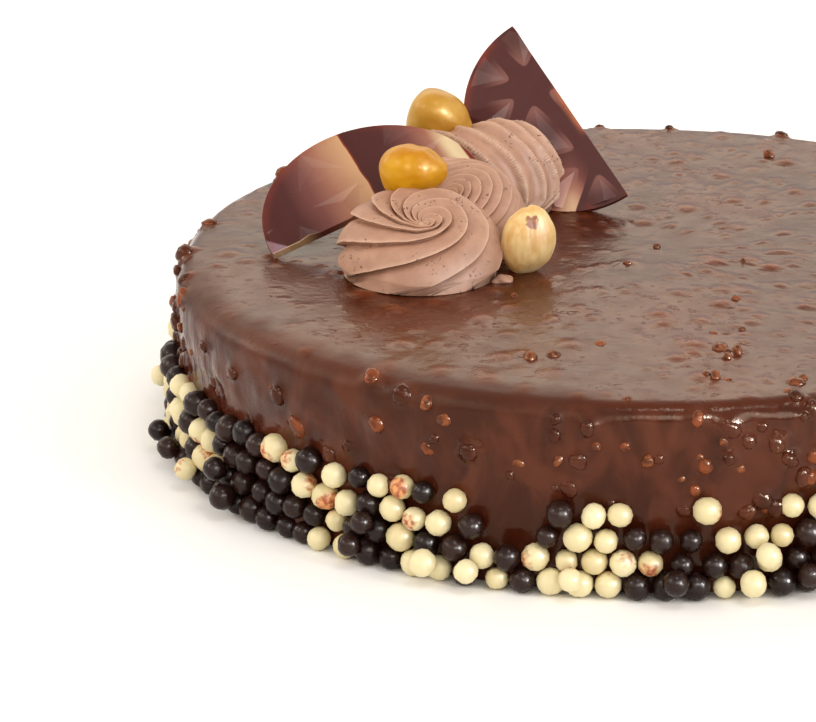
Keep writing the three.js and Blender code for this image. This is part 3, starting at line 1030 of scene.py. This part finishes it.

# %% [markdown]
# ## Cream finish
#
# Whipped chocolate cream is matt and full of small air holes. The holes are dots of painted shade that
# also dent the surface. Holes cut as geometry would be finer than the mesh, so a noise marks them. The
# thin lips of the strips carry a painted highlight in a paler colour, and a small dab that fell beside
# the front swirl has the same finish.

# %% Cream finish
cream_finish, place = start_finish("whipped_cream")
# Where the air holes lie: they dent the surface and are painted dark as painted shade inside them.
hole = rise(mottle(place, 0.75, 1) + 0.2 * rise(mottle(place, 5, 2), 0.4, 0.7), 0.79, 0.86)
cream = blend(rise(mottle(place, 4, 3), 0.35, 0.7), colour(160, 118, 95), colour(173, 131, 107))
# Painted highlight: the thin lips of the strips are painted paler, as where they catch the light.
cream = blend(0.75 * own_value(place, "lip"), cream, colour(212, 176, 151))
set_shader(
    cream_finish,
    # The air holes are painted dark: painted shade inside them.
    Base_Color=blend(0.85 * hole, cream, colour(96, 54, 38)),
    Roughness=0.55 + 0.15 * mottle(place, 1.5),
    Normal=bump(0.6 * mottle(place, 0.7, 3) + 0.6 * (1 - hole), 0.12),
    Subsurface_Weight=0.08,
    Subsurface_Radius=(1.0, 0.6, 0.4),
    Subsurface_Scale=0.8 * MM,
)
for name, piece in swirls.items():
    dress(piece, cream_finish, name)
print("finish:", cream_finish.name)

# %% A dab of cream that fell beside the front swirl
DAB_PLACE, DAB_SIZE = (-30.6, -24.2, 41.3), (2.3, 1.7, 1.1)
deselect()
bpy.ops.mesh.primitive_uv_sphere_add(segments=32, ring_count=18, radius=1)
dab = bpy.context.object
dab.name = dab.data.name = "swirl_dab"
bpy.ops.object.shade_smooth()
ball = read_points(dab)
uneven_ball = ball * (1 + 0.3 * uneven(ball * MM, 0.9, 3))[:, None]
write_points(dab, (uneven_ball * DAB_SIZE + DAB_PLACE) * MM)
write_values(dab, "lip", np.zeros(len(ball)))
dress(dab, cream_finish, "rosette_front")
print("dab points:", len(ball))

# %% [markdown]
# ## Hazelnuts
#
# Two nuts were dipped in caramel and are smooth and golden, and one is a bare blanched kernel with
# its brown scar and fine furrows. A spun outline would be too even for kernels, so all start as a ball
# whose points are drawn out to a tip and pushed into lobes.

# %% Shape the hazelnuts
NUTS = {
    "hazelnut_front": {
        "at": (-50, -6, 60), "half_width": 6.3, "half_length": 7.1, "looks": (1, -0.25, 0.1),
        "taper": 0.06, "waist": 0.07, "furrow_mm": 0.02, "seam_mm": 0, "pale": 0,
    },
    "hazelnut_back": {
        "at": (-43.6, 35, 60.3), "half_width": 6.6, "half_length": 7.4, "looks": (0.9, 0, -0.45),
        "taper": 0.16, "waist": 0, "furrow_mm": 0.02, "seam_mm": 0, "pale": 1,
    },
    "hazelnut_right": {
        "at": (-25.4, -17.4, 47.9), "half_width": 5.7, "half_length": 7.4, "looks": (0.2, -0.2, 1),
        "taper": -0.04, "waist": 0, "furrow_mm": 0.09, "seam_mm": 0.4, "pale": 1,
    },
}
SCAR_SIDE = (0.14, -0.61, 0.78)
FURROWS = 22
KERNEL_SEGMENTS, KERNEL_RINGS = 66, 44


def shape_nut(name, at, half_width, half_length, looks, taper, waist, furrow_mm, seam_mm, pale):
    """One kernel: round at its base, a blunt tip, shallow lobes and furrows from end to end."""
    deselect()
    bpy.ops.mesh.primitive_uv_sphere_add(segments=KERNEL_SEGMENTS, ring_count=KERNEL_RINGS, radius=1)
    piece = bpy.context.object
    piece.name = piece.data.name = name.replace("hazelnut", "kernel")
    bpy.ops.object.shade_smooth()
    ball = read_points(piece)
    along, around = ball[:, 2], np.arctan2(ball[:, 1], ball[:, 0])
    belly = np.sqrt(np.clip(1 - along ** 2, 0, 1))
    wide = half_width * (1 + 0.05 * np.cos(3 * around + 0.7) - taper * along)
    wide = wide * (1 - waist * np.exp(-((along - 0.2) / 0.2) ** 2))
    wide = wide + furrow_mm * belly * np.sin(FURROWS * around + 2 * uneven(ball * MM, 0.7, at[0]))
    tip = 0.1 * slope(along, 0.75, 1)
    points = np.stack([ball[:, 0] * wide, ball[:, 1] * wide, (along + tip) * half_length], axis=1)
    points *= (1 + 0.08 * uneven(ball * MM, 0.8, at[1]))[:, None]
    aim = Vector((0, 0, 1)).rotation_difference(Vector(looks)).to_matrix()
    points = points @ np.array(aim).T
    out = points / np.linalg.norm(points, axis=1)[:, None]
    beside = Vector(SCAR_SIDE).cross(Vector((0, 0, 1))).normalized()
    seam = np.exp(-(out @ np.array(beside) / 0.09) ** 2) * slope(out @ np.array(SCAR_SIDE), 0.1, 0.6)
    points -= out * (seam_mm * seam)[:, None]
    write_values(piece, "scar", out @ np.array(SCAR_SIDE))
    write_values(piece, "pale", np.full(len(out), pale))
    write_points(piece, (points + np.array(at)) * MM)
    return piece


nuts = {name: shape_nut(name, **nut) for name, nut in NUTS.items()}
print("kernels:", ", ".join(nuts))

# %% [markdown]
# ## Hazelnut finishes
#
# Caramel is a clear golden coat, so light goes a little way in and the reflections are tinted gold. The
# blanched kernel is pale and satin, with fibres from end to end. Its scar lies on one side, so an
# attribute of the mesh marks it.

# %% Caramel
caramel_finish, place = start_finish("caramel_coat")
pool = rise(mottle(place, 6, 2), 0.3, 0.72)
gold = blend(pool, colour(180, 118, 0), colour(196, 144, 6))
dull_gold = blend(pool, colour(174, 124, 38), colour(188, 146, 62))
set_shader(
    caramel_finish,
    Base_Color=blend(own_value(place, "pale"), gold, dull_gold),
    Roughness=0.3 + 0.2 * mottle(place, 3),
    Normal=bump(mottle(place, 3.5), 0.25),
    Coat_Weight=0.08,
    Coat_Roughness=0.12,
    Specular_Tint=(1.0, 0.8, 0.4, 1.0),
    Subsurface_Weight=0.1,
    Subsurface_Radius=(1.0, 0.55, 0.15),
    Subsurface_Scale=1.5 * MM,
)
print("finish:", caramel_finish.name)

# %% Blanched kernel
blanched_finish, place = start_finish("blanched_nut")
scar = rise(own_value(place, "scar") + 0.06 * (mottle(place, 1.2, 3) - 0.5), 0.974, 0.988)
fibres = mottle(drawn_out(place, 0.15), 1.1, 2)
pale = rise(0.65 * mottle(place, 5, 3) + 0.35 * fibres, 0.36, 0.64)
pale = blend(pale, colour(208, 164, 94), colour(230, 202, 144))
set_shader(
    blanched_finish,
    Base_Color=blend(scar, pale, colour(142, 82, 44)),
    Roughness=0.42 + 0.2 * mottle(place, 2),
    Normal=bump(0.5 * mottle(place, 1.4, 3) + fibres, 0.14),
    Subsurface_Weight=0.1,
    Subsurface_Radius=(1.0, 0.7, 0.4),
    Subsurface_Scale=1.0 * MM,
)
for name, piece in nuts.items():
    if name == "hazelnut_right":
        dress(piece, blanched_finish, name)
    else:
        dress(piece, caramel_finish, name)
print("finish:", blanched_finish.name)

# %% [markdown]
# ## Chocolate plaques
#
# Two half discs were cast in a mould with low three-sided pads, so facets catch the light between
# flat bands. The pads could be extruded from a cut plate, but the half disc slices many of them. So a
# plate is cut from a cylinder, the pads are cones of three sides that are trimmed to the half disc and
# joined to it, and a fine bevel takes the edge off.

# %% Plaque sizes
PLAQUES = {
    "plaque_left": {"start": (-79.8, -8.6, 42.2), "end": (-35.8, 8, 58.5), "lean": -66,
                    "hub": (5, 12), "skew": 5, "pad_height": 0.9},
    "plaque_right": {"start": (-1.6, 26.6, 45.2), "end": (-27, 51, 77.7), "lean": 228.5,
                     "hub": (9.8, 4.6), "skew": 9, "pad_height": 1.0},
}
PLAQUE_THICK, ROUND_STEPS = 1.7, 128


def plaque_frame(start, end, lean):
    """The turn and place of a plaque and its radius in millimetres."""
    start, end = Vector(start), Vector(end)
    along = (end - start).normalized()
    level = along.cross(Vector((0, 0, 1))).normalized()
    bulge = Matrix.Rotation(math.radians(lean), 3, along) @ level.cross(along)
    face = along.cross(bulge)
    turn = Matrix((along, bulge, face)).transposed().to_4x4()
    return Matrix.Translation((start + end) / 2) @ turn, (end - start).length / 2


def half_disc(name, radius, low, high):
    """A half disc on the +Y side of the X axis between two heights, in millimetres."""
    deselect()
    bpy.ops.mesh.primitive_cylinder_add(vertices=ROUND_STEPS, radius=radius, depth=high - low)
    piece = bpy.context.object
    piece.name = piece.data.name = name
    bpy.ops.object.mode_set(mode="EDIT")
    bpy.ops.mesh.select_all(action="SELECT")
    bpy.ops.mesh.bisect(plane_co=(0, 0, 0), plane_no=(0, 1, 0), use_fill=True, clear_inner=True)
    bpy.ops.mesh.select_all(action="SELECT")
    bpy.ops.transform.translate(value=(0, 0, (low + high) / 2))
    bpy.ops.object.mode_set(mode="OBJECT")
    return piece


radii = [math.dist(plaque["start"], plaque["end"]) / 2 for plaque in PLAQUES.values()]
print("plaque radii in mm:", [round(radius, 1) for radius in radii])

# %% Lay out the pads
HUB_PITCH, BAND_WIDTH, HUB_COUNT = 22, 3.0, 4
# How deep a pad is rooted in the plate, and its flat tip as a share of its foot.
PAD_ROOT, PAD_TIP = 0.4, 0.06


def pad_middles(hub, skew, radius):
    """Middles of the pads and whether each points up or down the skewed net of hubs."""
    first = Vector((math.cos(math.radians(skew)), math.sin(math.radians(skew)))) * HUB_PITCH
    second = Matrix.Rotation(math.radians(60), 2) @ first
    spots = []
    for i in range(-HUB_COUNT, HUB_COUNT + 1):
        for j in range(-HUB_COUNT, HUB_COUNT + 1):
            corner = Vector(hub) + first * i + second * j
            spots.append((corner + (first + second) / 3, 0))
            spots.append((corner + (first + second) * 2 / 3, 60))
    return [(spot, tip) for spot, tip in spots
            if spot.length < 1.4 * radius and spot.y > -0.5 * radius]


def add_pads(hub, skew, pad_height, radius):
    """All the low three-sided pads that lie on one plaque."""
    across = (HUB_PITCH - math.sqrt(3) * BAND_WIDTH) / math.sqrt(3)
    pads = []
    for spot, tip in pad_middles(hub, skew, radius):
        deselect()
        bpy.ops.mesh.primitive_cone_add(
            vertices=3, radius1=across, radius2=PAD_TIP * across, depth=pad_height + PAD_ROOT,
            location=(spot.x, spot.y, pad_height / 2 - PAD_ROOT / 2),
            rotation=(0, 0, math.radians(skew + tip)),
        )
        pads.append(bpy.context.object)
    deselect()
    for pad in pads:
        pad.select_set(True)
    bpy.context.view_layer.objects.active = pads[0]
    bpy.ops.object.join()
    bpy.ops.object.transform_apply(location=True, rotation=True, scale=True)
    return bpy.context.object


print("foot of a pad to its corners in mm:", round(HUB_PITCH / math.sqrt(3) - BAND_WIDTH, 1))

# %% Cast the plaques
PAD_MARGIN, TRIM_LOW, TRIM_HIGH = 0.8, -1, 3
BEVEL_WIDTH, BEVEL_STEPS = 0.18, 2
# Angles in degrees from which an edge is bevelled, and up to which it is shaded smooth.
SHARP_EDGE, SMOOTH_EDGE = 40, 4


def combine(piece, other, operation):
    """Join or trim a piece with another one, which is used up."""
    deselect()
    bpy.context.view_layer.objects.active = piece
    piece.select_set(True)
    bpy.ops.object.modifier_add(type="BOOLEAN")
    step = piece.modifiers[-1]
    step.operation, step.object, step.solver = operation, other, "EXACT"
    bpy.ops.object.modifier_apply(modifier=step.name)
    bpy.data.objects.remove(other)


def cast_plaque(name, start, end, lean, hub, skew, pad_height):
    """One plaque in the place of its node, with its flat coordinates kept for the marbling."""
    place, radius = plaque_frame(start, end, lean)
    pads = add_pads(hub, skew, pad_height, radius)
    combine(pads, half_disc("trim", radius - PAD_MARGIN, TRIM_LOW, TRIM_HIGH), "INTERSECT")
    plate = half_disc(name.replace("plaque", "half_disc"), radius, -PLAQUE_THICK, 0)
    combine(plate, pads, "UNION")
    bpy.ops.object.modifier_add(type="BEVEL")
    bevel = plate.modifiers[-1]
    bevel.width, bevel.segments = BEVEL_WIDTH, BEVEL_STEPS
    bevel.angle_limit = math.radians(SHARP_EDGE)
    bpy.ops.object.modifier_apply(modifier=bevel.name)
    bpy.ops.object.shade_smooth_by_angle(angle=math.radians(SMOOTH_EDGE))
    flat = read_points(plate)
    write_values(plate, "chord", flat[:, 0] / radius)
    write_values(plate, "bulge", flat[:, 1] / radius)
    plate.data.transform(Matrix.Scale(MM, 4) @ place)
    return plate


plaques = {name: cast_plaque(name, **plaque) for name, plaque in PLAQUES.items()}
print("plaques:", ", ".join(plaques))

# %% [markdown]
# ## Marbled chocolate finish
#
# On the left plaque dark chocolate fades through mauve to cream, then a sharp edge starts the next dark
# stripe, which a saw-tooth of the flat coordinates gives. The right plaque is dark with one pale corner
# behind a sharp edge, and the ends of its pads round each hub carry a painted highlight, paler where
# they would catch the light. Along the round edges a painted red glow stands in for light shining
# through thin chocolate. The flat coordinates are attributes, because both plaques lean and Object
# coordinates would cut across.

# %% Patterns of the marbling
STRIPES = [(0.0, colour(136, 52, 20)), (0.025, colour(64, 20, 13)), (0.35, colour(68, 27, 22)),
           (0.56, colour(104, 58, 52)), (0.74, colour(146, 97, 78)), (1.0, colour(184, 144, 106))]
PATCH = [(0.0, colour(70, 27, 22)), (0.35, colour(108, 56, 48)), (0.7, colour(160, 106, 88)),
         (1.0, colour(206, 170, 136))]
HUBS, HUB_SKEW = ((0.41, 0.19), (-0.5, 0.05)), 9


def flat_place(place):
    """How far along its straight edge and out from it a plaque's surface lies, in radii."""
    return own_value(place, "chord"), own_value(place, "bulge")


def thin_edge(place):
    """Patches along the round edge, where a plaque thins out and a red glow of light through it is
    painted.
    """
    chord, bulge = flat_place(place)
    return rise(chord * chord + bulge * bulge, 0.8, 0.98) * rise(mottle(place, 9, 2), 0.35, 0.6)


def hub_shine(place, hub):
    """The ends of the six pads round a hub, where a highlight is painted."""
    chord, bulge = flat_place(place)
    along, out = chord - hub[0], bulge - hub[1]
    gap = place.math("POWER", along * along + out * out, 0.5)
    turn = 3 * (place.math("ARCTAN2", out, along) - math.radians(HUB_SKEW))
    from_arm = gap * place.math("ABSOLUTE", place.math("SINE", turn, 0), 0)
    return rise(from_arm, 0.195, 0.215) * (1 - rise(gap, 0.18, 0.48))


def set_plaque_shader(finish, place, tone, painted_glow):
    set_shader(
        finish,
        # Painted glow: thin round edges are painted red, for light that shines through thin chocolate.
        Base_Color=blend(painted_glow * thin_edge(place), tone, colour(132, 46, 26)),
        Roughness=0.24 + 0.12 * mottle(place, 4),
        Normal=bump(mottle(place, 5, 2), 0.1),
        IOR=1.37,
    )


print("colours of a stripe:", len(STRIPES))

# %% Left plaque
STRIPE_WIDTH = 0.93
left_marble, place = start_finish("marbled_left")
chord, bulge = flat_place(place)
across = (chord - 0.07 * bulge + 0.1 * (mottle(place, 12, 2) - 0.5) - 0.05) / STRIPE_WIDTH
fade = 0.8 + 0.2 * rise(chord, -0.1, 0.2)
stripe = place.math("POWER", across - place.math("FLOOR", across, 0), fade)
past_corner = rise(across, -0.965, -0.96)
stripe = past_corner * stripe + 0.2 * (1 - past_corner)
tone = place.node("ShaderNodeValToRGB", {"stops": STRIPES}, {"Fac": stripe})
tone = blend(1 - rise(chord + 0.8 * bulge, -0.86, -0.83), tone, colour(128, 102, 110))
tone = blend(rise(chord, 0.76, 0.9), tone, colour(206, 186, 148))
tone = blend(rise(chord, 0.955, 0.97), tone, colour(104, 28, 18))
cut_edge = 1 - rise(bulge, 0.004, 0.012)
tone = blend(cut_edge * (0.6 - 0.6 * rise(chord, -0.75, -0.5)), tone, colour(214, 184, 142))
set_plaque_shader(left_marble, place, tone, 0.3)
dress(plaques["plaque_left"], left_marble, "plaque_left")
print("finish:", left_marble.name)

# %% Right plaque
right_marble, place = start_finish("marbled_right")
chord, bulge = flat_place(place)
beyond = 0.75 * chord + 0.66 * bulge + 0.05 * (mottle(place, 12, 2) - 0.5) + 0.34
patch = rise(beyond, -0.006, 0.006) * (1 - rise(beyond, 0.02, 0.4)) * rise(bulge, 0.12, 0.5)
tone = place.node("ShaderNodeValToRGB", {"stops": PATCH}, {"Fac": patch})
shine = hub_shine(place, HUBS[0]) + hub_shine(place, HUBS[1])
# Painted highlight: the ends of the pads round each hub are painted paler, as if they caught the light.
tone = blend(0.5 * shine, tone, colour(150, 102, 94))
worn = (1 - rise(bulge, 0.0, 0.07)) * (1 - rise(chord * chord, 0.01, 0.1))
set_plaque_shader(right_marble, place, blend(0.7 * worn, tone, colour(176, 98, 62)), 0.6)
dress(plaques["plaque_right"], right_marble, "plaque_right")
print("finish:", right_marble.name)
